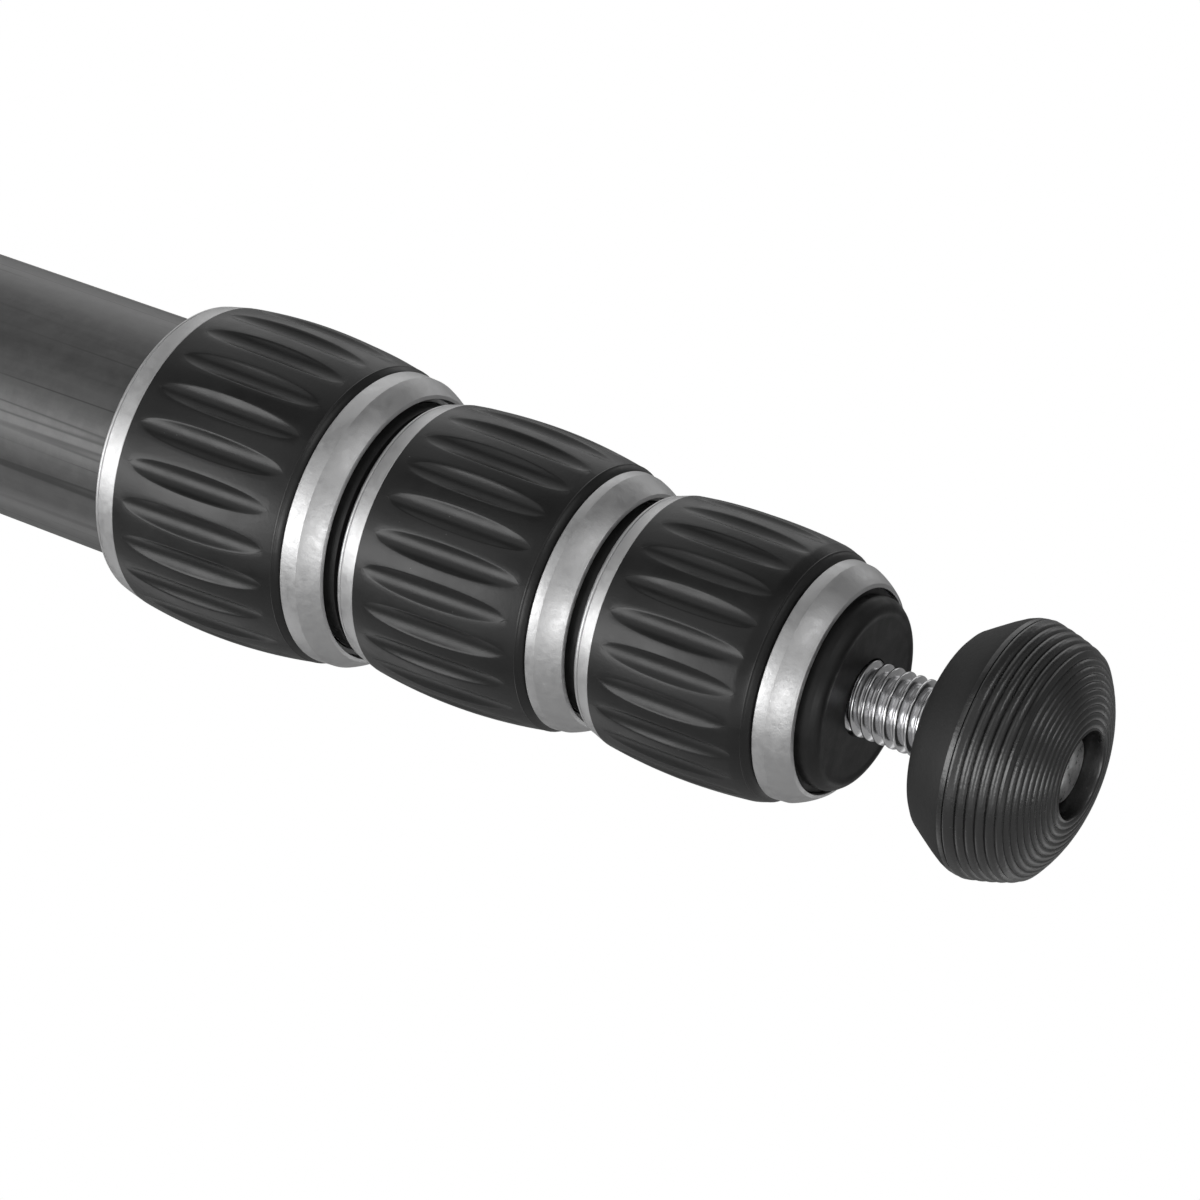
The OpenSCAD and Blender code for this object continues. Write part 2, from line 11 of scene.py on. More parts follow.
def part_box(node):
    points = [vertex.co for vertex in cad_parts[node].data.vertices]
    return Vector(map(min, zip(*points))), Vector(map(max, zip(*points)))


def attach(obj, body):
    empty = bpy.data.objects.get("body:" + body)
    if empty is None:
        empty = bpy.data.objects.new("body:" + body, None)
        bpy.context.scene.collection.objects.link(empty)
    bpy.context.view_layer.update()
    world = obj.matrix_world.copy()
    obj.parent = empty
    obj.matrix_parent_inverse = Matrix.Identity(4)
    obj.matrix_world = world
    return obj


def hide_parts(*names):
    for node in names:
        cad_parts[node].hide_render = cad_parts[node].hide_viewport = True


MM = 0.001
WELD_DISTANCE = 0.0001 * MM

# Stance and pivots, as in the solids
STANCE = math.radians(23)
FIRST_LEG = math.radians(-90)
PIVOT_RADIUS = 42 * MM
PIVOT_HEIGHT = -48 * MM
LEGS = (1, 2, 3)

# Stations down a leg, measured from its pivot
TUBE_DIAMETER = 27.5 * MM
TUBE_STEP = 3.5 * MM

# Each twist lock: its station, crown radius, entry ring's width, grip length, the nose ring's band
# and whole length, grooves and their turn
LOCKS = {
    1: {"at": 322 * MM, "crown": 17.83 * MM, "entry": 3 * MM, "grip": 21.5 * MM,
        "band": 2 * MM, "nose": 4.4 * MM, "grooves": 25, "turn": -4.1},
    2: {"at": 351.95 * MM, "crown": 15.65 * MM, "entry": 2.55 * MM, "grip": 20.9 * MM,
        "band": 1.1 * MM, "nose": 3.8 * MM, "grooves": 24, "turn": 4.8},
    3: {"at": 380.25 * MM, "crown": 14.3 * MM, "entry": 2.2 * MM, "grip": 18.8 * MM,
        "band": 1.4 * MM, "nose": 3.9 * MM, "grooves": 24, "turn": 2.3},
}

# What the locks share, first the grips: barrel, grooves and lower lip
CROWN_AT = 8.5 * MM
GRIP_BULGE = 0.58 * MM
GRIP_WALL = 2.6 * MM
ROLL = 4 * MM
ROLL_OVER_BAND = 0.1 * MM
UPPER_RIM_DROP = 0.25 * MM
LOWER_RIM_DROP = 0.2 * MM
GROOVE_START = 1.3 * MM
GROOVE_END = 2.1 * MM
GROOVE_SPREAD = 0.3 * MM
CUTTER_RADIUS = 1.9 * MM
GROOVE_EDGE_WIDTH = 0.09 * MM
GROOVE_EDGE_DROP = 0.015 * MM
LEAST_HALF_ANGLE = 0.0008
LIP_LENGTH = 1.15 * MM
LIP_DROP = 1 * MM
MOULD_LINE = 0.9 * MM
MOULD_LINE_WIDTH = 0.06 * MM
MOULD_LINE_HEIGHT = 0.07 * MM

# Then the sleeves: entry ring with its turned line, core, and nose ring with its mouth
ENTRY_TAPER = 0.6 * MM
ENTRY_CHAMFER = 0.3 * MM
BORE_CHAMFER = 0.35 * MM
TURNED_LINE = 0.5 * MM
TURNED_LINE_WIDTH = 0.18 * MM
TURNED_LINE_DEPTH = 0.15 * MM
TURNED_LINE_STEP = 0.1 * MM
SHADOW_GAP = 0.02 * MM
SLEEVE_CLEARANCE = 0.3 * MM
CORE_DROP = 2.7 * MM
BAND_DROP = 1.5 * MM
BAND_TAPER = 0.12 * MM
NOSE_DROP = 2.92 * MM
NOSE_BOW = 0.1 * MM
MOUTH_DROP = 3.35 * MM
MOUTH_DEPTH = 1.2 * MM
MOUTH_CHAMFER = 0.2 * MM
MOUTH_DRAFT = 0.05 * MM
MOUTH_LEDGE = 0.6 * MM
CORNER = 0.12 * MM

# Foot
CAP_FACE = 404.85 * MM
CAP_RADIUS = 10.25 * MM
CAP_COLLAR = 10.84 * MM
CAP_THICKNESS = 2.7 * MM
PLUG_RADIUS = 7.4 * MM
PLUG_LENGTH = 14 * MM
STUD_CLEARANCE = 0.06 * MM
STUD_RADIUS = 4 * MM
STUD_PITCH = 1.25 * MM
STUD_START = CAP_FACE - 14.5 * MM
FOOT_BACK = 414.95 * MM
FOOT_LENGTH = 14.2 * MM
FOOT_SEAM = 6.05 * MM
RIDGE_FULLNESS = 0.7
SOLE_HOLE = 4.55 * MM
SOLE_HOLE_DEPTH = 2.4 * MM
STUD_RECESS = 1.6 * MM
STUD_END = FOOT_BACK + FOOT_LENGTH - STUD_RECESS

# Carbon tubes: what sets the place of the cracks apart from the bands
CRACK_SHIFT = (0.31, 0.17, 0.53)

# Head screw
HEAD_SCREW_RADIUS = 4.7625 * MM
HEAD_SCREW_PITCH = 25.4 / 16 * MM
HEAD_SCREW_HEIGHT = 11 * MM
PLATE_THICKNESS = 6 * MM
NECK_DROP = 0.5 * MM
HEXAGON_RADIUS = 8 * MM
HEXAGON_HEIGHT = 4 * MM
HEXAGON_FALL = 0.42 * MM
HEXAGON_FLAT = 6.72 * MM

# Threads: depth as a share of the pitch, and the profile as (share of the pitch, share of the depth)
THREAD_DEPTH = 0.58
THREAD_PROFILE = ((0, 0), (0.14, 0), (0.19, 0.06), (0.47, 0.96), (0.6, 1), (0.95, 0.06))

# The photograph's view: where it sees the first lock's edge and the way down the leg, as distances
# to the right, down and forward of the camera
LOCK_IN_VIEW = Vector((-42.43, -15.30, 459.43)) * MM
LEG_IN_VIEW = Vector((0.8354, 0.3032, -0.4584)).normalized()
LENS_OVER_SENSOR = 3.5
SENSOR = 36

# Floor: how much its white is lifted, and how far from each foot it starts to fade out and has gone
FLOOR_LIFT = 0.52
FLOOR_CLEAR_FROM = 0.02
FLOOR_CLEAR_AT = 0.1
FLOOR_REACH = 3
FLOOR_DROP = 0.2 * MM

# The soft light from all round
WORLD_LEVEL = 0.5

# Lamps and studio cards round the leg's end: each one's direction from it in that view, then a lamp's
# size and power, or a card's lightness
LAMP_DISTANCE = 0.8
LAMPS = {
    "side_softbox": ((-0.87, 0.09, -0.5), 0.44, 2.25),
    "left_softbox": ((-0.98, -0.08, 0.08), 0.3, 1.1),
    "front_low_lamp": ((0.05, 0.45, -0.88), 0.35, 1.35),
    "front_high_lamp": ((0.39, -0.43, -0.81), 0.15, 0.3),
    "top_lamp": ((-0.2, -0.96, 0.1), 0.5, 0.38),
    "top_back_lamp": ((0.05, -0.8, 0.6), 0.5, 0.6),
}
CARD_DISTANCE = 1.8
CARDS = {
    "left_card": ((-1, 0, 0), 0.4),
    "right_card": ((1, 0, 0), 0.22),
    "upper_card": ((0, -1, 0), 0.16),
    "lower_card": ((0, 1, 0), 0.36),
    "near_card": ((0, 0, -1), 0.4),
    "far_card": ((0, 0, 1), 0.25),
}


def leg_frame(leg):
    """A leg's own frame: +Z runs down the leg from its pivot and +X points inward."""
    turn = Matrix.Rotation(FIRST_LEG + math.radians(120) * (leg - 1), 4, "Z")
    lean = Matrix.Rotation(math.pi - STANCE, 4, "Y")
    return turn @ Matrix.Translation((PIVOT_RADIUS, 0, PIVOT_HEIGHT)) @ lean


def view_frame():
    """The photograph's camera: a matrix with its right, down and forward as columns, and its place."""
    down_image = Vector((0, 1, 0))
    across = (down_image - down_image.dot(LEG_IN_VIEW) * LEG_IN_VIEW).normalized()
    down = math.cos(STANCE) * LEG_IN_VIEW + math.sin(STANCE) * across
    out = math.sin(STANCE) * LEG_IN_VIEW - math.cos(STANCE) * across
    seen = Matrix((out, down, out.cross(down))).transposed()
    leg_out = Vector((math.cos(FIRST_LEG), math.sin(FIRST_LEG), 0))
    floorward = Vector((0, 0, -1))
    placed = Matrix((leg_out, floorward, leg_out.cross(floorward))).transposed()
    to_world = placed @ seen.transposed()
    lock_edge = leg_frame(1) @ Vector((0, 0, LOCKS[1]["at"]))
    return to_world, lock_edge - to_world @ LOCK_IN_VIEW


def facing_angle():
    """The angle about the first leg, from its own +X, at which its surface faces the camera."""
    to_world = view_frame()[0]
    local = leg_frame(1).to_3x3().inverted() @ (to_world @ Vector((0, 0, -1)))
    return math.atan2(local.y, local.x)


# Mesh building


def new_piece(name, points, faces, sharp_angle=35):
    """A smooth-shaded mesh object with sharp edges where its faces turn by more than the angle."""
    mesh = bpy.data.meshes.new(name)
    mesh.from_pydata(points, [], faces)
    mesh.validate()
    mesh.shade_smooth()
    mesh.set_sharp_from_angle(angle=math.radians(sharp_angle))
    mesh.update()
    piece = bpy.data.objects.new(name, mesh)
    bpy.context.scene.collection.objects.link(piece)
    return piece


def weld(piece):
    """Joins the points of a piece that lie in one place, which drops its faces without an area."""
    shape = bmesh.new()
    shape.from_mesh(piece.data)
    bmesh.ops.remove_doubles(shape, verts=shape.verts, dist=WELD_DISTANCE)
    shape.to_mesh(piece.data)
    shape.free()


def again(piece, name):
    """A second object with the same mesh."""
    copy = bpy.data.objects.new(name, piece.data)
    bpy.context.scene.collection.objects.link(copy)
    return copy


def eased(outline, radius, steps=3):
    """The closed outline with each corner rounded off, less where a side is short."""
    least_turn = math.radians(8)
    share_of_side = 0.4
    rounded = []
    count = len(outline)
    for i in range(count):
        here = Vector(outline[i])
        before = Vector(outline[i - 1]) - here
        after = Vector(outline[(i + 1) % count]) - here
        turn = before.angle(-after, 0)
        if turn < least_turn:
            rounded.append(tuple(here))
            continue
        shorter = min(before.length, after.length)
        cut = min(radius * math.tan(turn / 2), shorter * share_of_side)
        start = here + before.normalized() * cut
        end = here + after.normalized() * cut
        for k in range(steps + 1):
            t = k / steps
            bend = (1 - t) ** 2 * start + 2 * t * (1 - t) * here + t ** 2 * end
            rounded.append(tuple(bend))
    return rounded


def turned(name, outline, steps=144, sharp_angle=35):
    """A piece turned about its own Z from a closed outline of (radius, height) points."""
    points = []
    for i in range(steps):
        angle = 2 * math.pi * i / steps
        for radius, height in outline:
            points.append((radius * math.cos(angle), radius * math.sin(angle), height))
    count = len(outline)
    faces = []
    for i in range(steps):
        j = (i + 1) % steps
        for k in range(count):
            m = (k + 1) % count
            faces.append((i * count + k, j * count + k, j * count + m, i * count + m))
    return new_piece(name, points, faces, sharp_angle)


# Grips and sleeves


def barrel_radius(lock, height):
    """Radius of a grip's plain barrel at a height below its upper edge."""
    crown = lock["crown"]
    arc = (CROWN_AT ** 2 + GRIP_BULGE ** 2) / (2 * GRIP_BULGE)
    roll_at = lock["grip"] - ROLL
    long_arc = crown - arc + math.sqrt(arc ** 2 - (height - CROWN_AT) ** 2)
    if height <= roll_at:
        return long_arc
    edge = crown - arc + math.sqrt(arc ** 2 - (roll_at - CROWN_AT) ** 2)
    drop = edge - (crown - BAND_DROP) - ROLL_OVER_BAND
    roll = (ROLL ** 2 + drop ** 2) / (2 * drop)
    barrel = min(long_arc, edge - roll + math.sqrt(roll ** 2 - (height - roll_at) ** 2))
    return barrel - lip_fall(lock["grip"] - height)


def lip_fall(left):
    """How far the grip's lower lip has rounded inward with this much left, less its mould line."""
    if left >= LIP_LENGTH:
        return 0
    share = 1 - max(0, left) / LIP_LENGTH
    mould_line = MOULD_LINE_HEIGHT * math.exp(-((left - MOULD_LINE) / MOULD_LINE_WIDTH) ** 2)
    return LIP_DROP * (1 - math.sqrt(1 - share ** 2)) - mould_line


def groove_section(lock, height, first, last):
    """Half angle at a height of a groove from first to last, and the cutter's distance from the axis."""
    if not first < height < last:
        return 0, 0
    share = (height - first) / (last - first)
    floor = barrel_radius(lock, first) * (1 - share) + barrel_radius(lock, last) * share
    centre = floor + CUTTER_RADIUS
    radius = barrel_radius(lock, height)
    if radius <= floor:
        return 0, 0
    cosine = (radius ** 2 + centre ** 2 - CUTTER_RADIUS ** 2) / (2 * radius * centre)
    return math.acos(min(1, cosine)), centre


def groove_depth_radius(angle, centre):
    """Radius of the cutter's near side at an angle from the groove's middle."""
    reach = CUTTER_RADIUS ** 2 - (centre * math.sin(angle)) ** 2
    return centre * math.cos(angle) - math.sqrt(max(0, reach))


def grip_heights(lock, count=64, margin=0.35, lip_steps=26):
    """Heights of the mesh rings, closer together near the upper end and evenly down the lip."""
    body = lock["grip"] - LIP_LENGTH
    heights = []
    for k in range(count):
        share = (k + margin) / (count + 2 * margin)
        heights.append(body * (0.5 - 0.5 * math.cos(math.pi * share)))
    return heights + [body + LIP_LENGTH * k / lip_steps for k in range(lip_steps)]


def grip_mesh(number):
    """A barrel grip whose mesh follows its grooves' edges, so that they stay crisp."""
    lock = LOCKS[number]
    pitch = 2 * math.pi / lock["grooves"]
    soft = GROOVE_EDGE_WIDTH / lock["crown"]
    inner = lock["crown"] - GRIP_WALL
    inside = (-0.88, -0.66, -0.42, -0.2, 0, 0.2, 0.42, 0.66, 0.88)
    dice = random.Random(number)
    spans = []
    for _ in range(lock["grooves"]):
        first = GROOVE_START + dice.uniform(-1, 1) * GROOVE_SPREAD
        spans.append((first, lock["grip"] - GROOVE_END + dice.uniform(-1, 1) * GROOVE_SPREAD))
    rings = []
    for height in grip_heights(lock):
        radius = barrel_radius(lock, height)
        ring = []
        for g, (first, last) in enumerate(spans):
            half, centre = groove_section(lock, height, first, last)
            edge = max(half, LEAST_HALF_ANGLE)
            middle = g * pitch
            left = [-pitch / 2, -(pitch / 2 + edge + soft) / 2, -edge - soft, -edge]
            right = [edge, edge + soft, (pitch / 2 + edge + soft) / 2]
            bottom = [share * edge for share in inside]
            for offset in left + bottom + right:
                at = radius
                if abs(offset) < half:
                    at = min(radius, groove_depth_radius(offset, centre))
                if abs(abs(offset) - edge) < 1e-9 and half > 0:
                    at -= GROOVE_EDGE_DROP
                ring.append((at, middle + offset, height))
        rings.append(ring)
    rim = rings[0]
    foot = rings[-1]
    low = [(r - UPPER_RIM_DROP, a, 0) for r, a, h in rim]
    inner_low = [(inner, a, 0) for r, a, h in rim]
    tail = [(r - LOWER_RIM_DROP, a, lock["grip"]) for r, a, h in foot]
    inner_tail = [(inner, a, lock["grip"]) for r, a, h in foot]
    rings = [inner_low, low] + rings + [tail, inner_tail]
    count = len(rings[0])
    points = [(r * math.cos(a), r * math.sin(a), h) for ring in rings for r, a, h in ring]
    faces = []
    for k in range(len(rings)):
        m = (k + 1) % len(rings)
        for i in range(count):
            j = (i + 1) % count
            faces.append((k * count + i, k * count + j, m * count + j, m * count + i))
    return new_piece(f"grip_{number}", points, faces, sharp_angle=60)


def bowed(start, end, bow, steps=8):
    """Points on a shallow arc from start to end that bows outward at its middle."""
    begin = Vector(start)
    along = Vector(end) - begin
    out = Vector((along.y, -along.x)).normalized()
    return [tuple(begin + along * (k / steps) + out * bow * 4 * (k / steps) * (1 - k / steps))
            for k in range(steps + 1)]


def sleeve_mesh(number):
    """The metal sleeve: entry ring with a turned line, plain core, and nose ring with a bowed cone."""
    lock = LOCKS[number]
    crown = lock["crown"]
    length = lock["grip"]
    end = length + lock["nose"]
    tube = TUBE_DIAMETER / 2 - (number - 1) * TUBE_STEP / 2
    edge = crown - GRIP_BULGE
    core = crown - CORE_DROP
    mouth = crown - MOUTH_DROP
    bore = tube + SLEEVE_CLEARANCE
    entry = -lock["entry"]
    narrow = edge - ENTRY_TAPER
    line = entry + TURNED_LINE
    outline = [
        (bore, entry + BORE_CHAMFER),
        (bore + BORE_CHAMFER, entry),
        (narrow - ENTRY_CHAMFER, entry),
        (narrow, entry + ENTRY_CHAMFER),
        (narrow, line),
        (narrow - TURNED_LINE_DEPTH, line + TURNED_LINE_WIDTH / 3),
        (narrow + TURNED_LINE_STEP, line + TURNED_LINE_WIDTH),
        (edge, -SHADOW_GAP),
        (core, 0),
        (core, length),
        (crown - BAND_DROP, length + SHADOW_GAP),
    ]
    outline += bowed((crown - BAND_DROP - BAND_TAPER, length + lock["band"]),
                     (crown - NOSE_DROP, end - MOUTH_CHAMFER), NOSE_BOW)
    outline += [
        (mouth, end),
        (mouth - MOUTH_DRAFT, end - MOUTH_DEPTH),
        (mouth - MOUTH_DRAFT - MOUTH_LEDGE, end - MOUTH_DEPTH),
    ]
    return turned(f"sleeve_{number}", eased(outline, CORNER), steps=192, sharp_angle=40)


# Foot


def end_cap_mesh():
    """The end cap: a flange with a collar and a bevelled rim, a shallow ring in its face, and a plug."""
    back = CAP_FACE - CAP_THICKNESS
    outline = [
        (CAP_RADIUS - 1.2 * MM, back),
        (CAP_COLLAR, back),
        (CAP_COLLAR, back + 0.3 * MM),
        (CAP_RADIUS, back + 0.34 * MM),
        (CAP_RADIUS, CAP_FACE - 1.05 * MM),
        (CAP_RADIUS - 0.12 * MM, CAP_FACE - 0.8 * MM),
    ]
    outline += bowed((CAP_RADIUS - 0.25 * MM, CAP_FACE - 0.65 * MM),
                     (CAP_RADIUS - 0.85 * MM, CAP_FACE - 0.06 * MM), 0.06 * MM)
    outline += [
        (CAP_RADIUS - 1.05 * MM, CAP_FACE),
        (CAP_RADIUS - 1.35 * MM, CAP_FACE - 0.02 * MM),
        (CAP_RADIUS - 1.6 * MM, CAP_FACE - 0.1 * MM),
        (CAP_RADIUS - 1.9 * MM, CAP_FACE - 0.12 * MM),
        (STUD_RADIUS + 0.15 * MM, CAP_FACE - 0.12 * MM),
        (STUD_RADIUS + STUD_CLEARANCE, CAP_FACE - 0.25 * MM),
        (STUD_RADIUS + STUD_CLEARANCE, back - PLUG_LENGTH),
        (PLUG_RADIUS, back - PLUG_LENGTH),
        (PLUG_RADIUS, back),
    ]
    return turned("end_cap", outline, steps=144)


def screw_mesh(name, radius, pitch, start, end, chamfer, steps=48):
    """A rod with a true helical thread from start to end, with chamfered ends."""
    depth = THREAD_DEPTH * pitch
    turns = (end - start) / pitch
    rows = int(math.ceil(turns)) + 2
    points = []
    for i in range(steps):
        angle = 2 * math.pi * i / steps
        column = []
        for row in range(-1, rows):
            for share, deep in THREAD_PROFILE:
                along = start + (row + share + i / steps) * pitch
                height = min(max(along, start), end)
                reach = min(height - start, end - height)
                cut = max(depth * deep, chamfer - reach) if start < along < end else chamfer
                column.append((radius - cut, height))
        for r, h in column:
            points.append((r * math.cos(angle), r * math.sin(angle), h))
    count = len(points) // steps
    faces = []
    shift = len(THREAD_PROFILE)
    for i in range(steps):
        j = (i + 1) % steps
        for k in range(count - 1):
            if j:
                faces.append((i * count + k, j * count + k, j * count + k + 1, i * count + k + 1))
            elif k + shift + 1 < count:
                faces.append((i * count + k, k + shift, k + shift + 1, i * count + k + 1))
    bottom = len(points)
    points.append((0, 0, start))
    top = len(points)
    points.append((0, 0, end))
    for i in range(steps):
        j = (i + 1) % steps
        faces.append((bottom, j * count, i * count))
        faces.append((top, i * count + count - 1, j * count + count - 1))
    piece = new_piece(name, points, faces, sharp_angle=50)
    weld(piece)
    return piece


def foot_outline():
    """Outline of the rubber foot: back cone, seam, side ridges, ridged dome and the sole's hole."""
    outline = [
        (STUD_RADIUS + STUD_CLEARANCE, 0),
        (9.0 * MM, 0),
        (9.6 * MM, 0.1 * MM),
        (10.2 * MM, 0.35 * MM),
        (10.7 * MM, 0.75 * MM),
        (11.5 * MM, 1.95 * MM),
        (12.5 * MM, 3.5 * MM),
        (13.1 * MM, 4.55 * MM),
        (13.35 * MM, 5.2 * MM),
        (13.45 * MM, 5.75 * MM),
        (13.45 * MM, FOOT_SEAM - 0.06 * MM),
        (13.33 * MM, FOOT_SEAM),
        (13.45 * MM, FOOT_SEAM + 0.06 * MM),
    ]
    outline += ridges((13.5 * MM, 6.3 * MM), (12.15 * MM, 11.1 * MM), count=5, bow=0.12 * MM,
                      depth=0.26 * MM)
    outline += ridges((11.95 * MM, 11.35 * MM), (4.95 * MM, FOOT_LENGTH), count=10, bow=0.55 * MM,
                      depth=0.17 * MM)
    outline += [
        (SOLE_HOLE + 0.12 * MM, FOOT_LENGTH - 0.05 * MM),
        (SOLE_HOLE, FOOT_LENGTH - 0.3 * MM),
        (SOLE_HOLE, FOOT_LENGTH - SOLE_HOLE_DEPTH),
        (STUD_RADIUS + STUD_CLEARANCE, FOOT_LENGTH - SOLE_HOLE_DEPTH),
    ]
    return outline


def ridges(start, end, count, bow, depth, steps=8):
    """Rounded ridges between two outline points, on a line that bows outward; the first rises flush."""
    begin = Vector(start)
    along = Vector(end) - begin
    out = Vector((along.y, -along.x)).normalized()
    line = []
    for k in range(count * steps + 1):
        t = k / (count * steps)
        wave = abs(math.sin(math.pi * t * count)) ** RIDGE_FULLNESS if t * count > 0.5 else 1
        lift = bow * 4 * t * (1 - t) - depth * (1 - wave)
        line.append(tuple(begin + along * t + out * lift))
    return line


def foot_mesh():
    """The rubber foot, turned from its outline."""
    return turned("foot", foot_outline(), steps=160, sharp_angle=50)


# Material building


def new_material(name):
    """A material with its node tree and its Principled shader."""
    material = bpy.data.materials.new(name)
    material.use_nodes = True
    tree = material.node_tree
    return material, tree, tree.nodes["Principled BSDF"]


def fill(tree, socket, value):
    """Links an input socket to an output socket, or sets it to a plain value."""
    if isinstance(value, bpy.types.NodeSocket):
        tree.links.new(value, socket)
    else:
        socket.default_value = value


def fill_inputs(tree, node, **values):
    """Fills a node's inputs by name, with an underscore for each space."""
    for name, value in values.items():
        fill(tree, node.inputs[name.replace("_", " ")], value)


def place(tree, kind, **values):
    """A new node of this kind with its inputs filled by name."""
    node = tree.nodes.new(kind)
    fill_inputs(tree, node, **values)
    return node


def use_group(tree, group, **values):
    """A node that uses a group, with its inputs filled by name."""
    node = tree.nodes.new("ShaderNodeGroup")
    node.node_tree = group
    fill_inputs(tree, node, **values)
    return node


def worked_out(tree, kind, operation, first, second):
    """The outputs of a math node of this kind, for two sockets or values."""
    node = tree.nodes.new(kind)
    node.operation = operation
    fill(tree, node.inputs[0], first)
    fill(tree, node.inputs[1], second)
    return node.outputs


def maths(tree, operation, first, second):
    """The result of an operation on two sockets or numbers."""
    return worked_out(tree, "ShaderNodeMath", operation, first, second)[0]


def noise(tree, spot, **values):
    """Cloudy noise over the surface, as a value."""
    return place(tree, "ShaderNodeTexNoise", Vector=spot, **values).outputs["Fac"]


def grey(level):
    """A grey of this level, as a colour."""
    return level, level, level


def ramp(tree, value, stops):
    """Grey levels that follow a value socket, from stops as (position, level)."""
    node = place(tree, "ShaderNodeValToRGB", Fac=value)
    elements = node.color_ramp.elements
    elements[0].position, first = stops[0]
    elements[0].color = (*grey(first), 1)
    elements[1].position, last = stops[-1]
    elements[1].color = (*grey(last), 1)
    for position, level in stops[1:-1]:
        element = elements.new(position)
        element.color = (*grey(level), 1)
    return node.outputs["Color"]


def blend(tree, mask, below, above):
    """Mixes two colours, given as tuples or sockets, by a mask socket."""
    mix = tree.nodes.new("ShaderNodeMix")
    mix.data_type = "RGBA"
    fill(tree, mix.inputs["Factor"], mask)
    for value, name in ((below, "A"), (above, "B")):
        socket = [s for s in mix.inputs if s.name == name and s.type == "RGBA"][0]
        fill(tree, socket, (*value, 1) if isinstance(value, tuple) else value)
    return [s for s in mix.outputs if s.type == "RGBA"][0]


def new_group(name, inputs, outputs):
    """A node group, its given values and its end, from (name, type, value) and (name, type)."""
    group = bpy.data.node_groups.new(name, "ShaderNodeTree")
    for label, kind, value in inputs:
        socket = group.interface.new_socket(label, in_out="INPUT", socket_type=kind)
        if value is not None:
            socket.default_value = value
    for label, kind in outputs:
        group.interface.new_socket(label, in_out="OUTPUT", socket_type=kind)
    given = group.nodes.new("NodeGroupInput").outputs
    end = group.nodes.new("NodeGroupOutput")
    return group, given, end


def grain_group():
    """Fine surface grain: a normal with small bumps."""
    group, given, end = new_group(
        "fine grain",
        [("Vector", "NodeSocketVector", None), ("Scale", "NodeSocketFloat", 4000),
         ("Height", "NodeSocketFloat", 0.02 * MM)],
        [("Normal", "NodeSocketVector")])
    bumps = noise(group, given["Vector"], Scale=given["Scale"], Detail=3, Roughness=0.6)
    bump = place(group, "ShaderNodeBump", Height=bumps, Distance=given["Height"], Strength=1)
    fill_inputs(group, end, Normal=bump.outputs["Normal"])
    return group


def dust_and_glint_group():
    """Scattered dust and, where they are many, painted glints: a mask of small specks that leaves most of
    the surface clean.
    """
    group, given, end = new_group(
        "dust specks",
        [("Vector", "NodeSocketVector", None), ("Scale", "NodeSocketFloat", 900),
         ("Size", "NodeSocketFloat", 0.07), ("Share", "NodeSocketFloat", 0.8)],
        [("Mask", "NodeSocketFloat")])
    cells = place(group, "ShaderNodeTexVoronoi", Vector=given["Vector"], Scale=given["Scale"],
                  Randomness=1)
    patch = place(group, "ShaderNodeSeparateColor", Color=cells.outputs["Color"])
    near = maths(group, "LESS_THAN", cells.outputs["Distance"], given["Size"])
    some = maths(group, "GREATER_THAN", patch.outputs["Red"], given["Share"])
    fill_inputs(group, end, Mask=maths(group, "MULTIPLY", near, some))
    return group


def streak_group():
    """Long thin streaks along the piece's own Z axis, as a value."""
    group, given, end = new_group(
        "lengthwise streaks",
        [("Vector", "NodeSocketVector", None), ("Scale", "NodeSocketFloat", 500),
         ("Stretch", "NodeSocketFloat", 0.02), ("Detail", "NodeSocketFloat", 4)],
        [("Value", "NodeSocketFloat")])
    axes = place(group, "ShaderNodeCombineXYZ", X=1, Y=1, Z=given["Stretch"])
    squeezed = worked_out(group, "ShaderNodeVectorMath", "MULTIPLY", given["Vector"],
                          axes.outputs["Vector"])
    value = noise(group, squeezed["Vector"], Scale=given["Scale"], Detail=given["Detail"], Roughness=0.65)
    fill_inputs(group, end, Value=value)
    return group


GRAIN = grain_group()
DUST_AND_GLINTS = dust_and_glint_group()
STREAKS = streak_group()


def grain(tree, spot, scale, height):
    """The grain's normal at a scale and a height."""
    return use_group(tree, GRAIN, Vector=spot, Scale=scale, Height=height).outputs["Normal"]


def streaks(tree, spot, **values):
    """Streaks along the piece, as a value."""
    return use_group(tree, STREAKS, Vector=spot, **values).outputs["Value"]


def own_place(tree):
    """The piece's own coordinates, in metres."""
    return tree.nodes.new("ShaderNodeTexCoord").outputs["Object"]


def past_height(tree, spot, height):
    """A mask of the stretch of a piece that lies past a height on its own Z axis."""
    axes = place(tree, "ShaderNodeSeparateXYZ", Vector=spot)
    return maths(tree, "GREATER_THAN", axes.outputs["Z"], height)


# Finishes


def rubber(name, shades, gloss, roughness, grain_scale, grain_height, clear_of_dust_and_glints=0.95, matte_below=None):
    """Moulded black rubber: fine grain, slow changes of tone, light specks that are dust and, on the foot,
    also painted glints, and matte below a height.
    """
    material, tree, shader = new_material(name)
    dark, light = shades
    spot = own_place(tree)
    tone = noise(tree, spot, Scale=260, Detail=3, Roughness=0.6)
    dust_and_glints = use_group(tree, DUST_AND_GLINTS, Vector=spot, Scale=1100, Size=0.08, Share=clear_of_dust_and_glints)
    body = blend(tree, tone, grey(dark), grey(light))
    # Light grey specks: dust on the grips, and on the foot also painted glints on the ridges.
    colour = blend(tree, dust_and_glints.outputs["Mask"], body, grey(0.06))
    shine = ramp(tree, tone, [(0.3, roughness - 0.05), (0.7, roughness + 0.05)])
    fill_inputs(tree, shader, Specular_IOR_Level=gloss)
    if matte_below is not None:
        past = past_height(tree, spot, matte_below)
        shine = blend(tree, past, grey(0.62), shine)
        fill_inputs(tree, shader, Specular_IOR_Level=blend(tree, past, grey(0.45 * gloss), grey(gloss)))
    fill_inputs(tree, shader, Base_Color=colour, Roughness=shine,
                Normal=grain(tree, spot, grain_scale, grain_height))
    return material


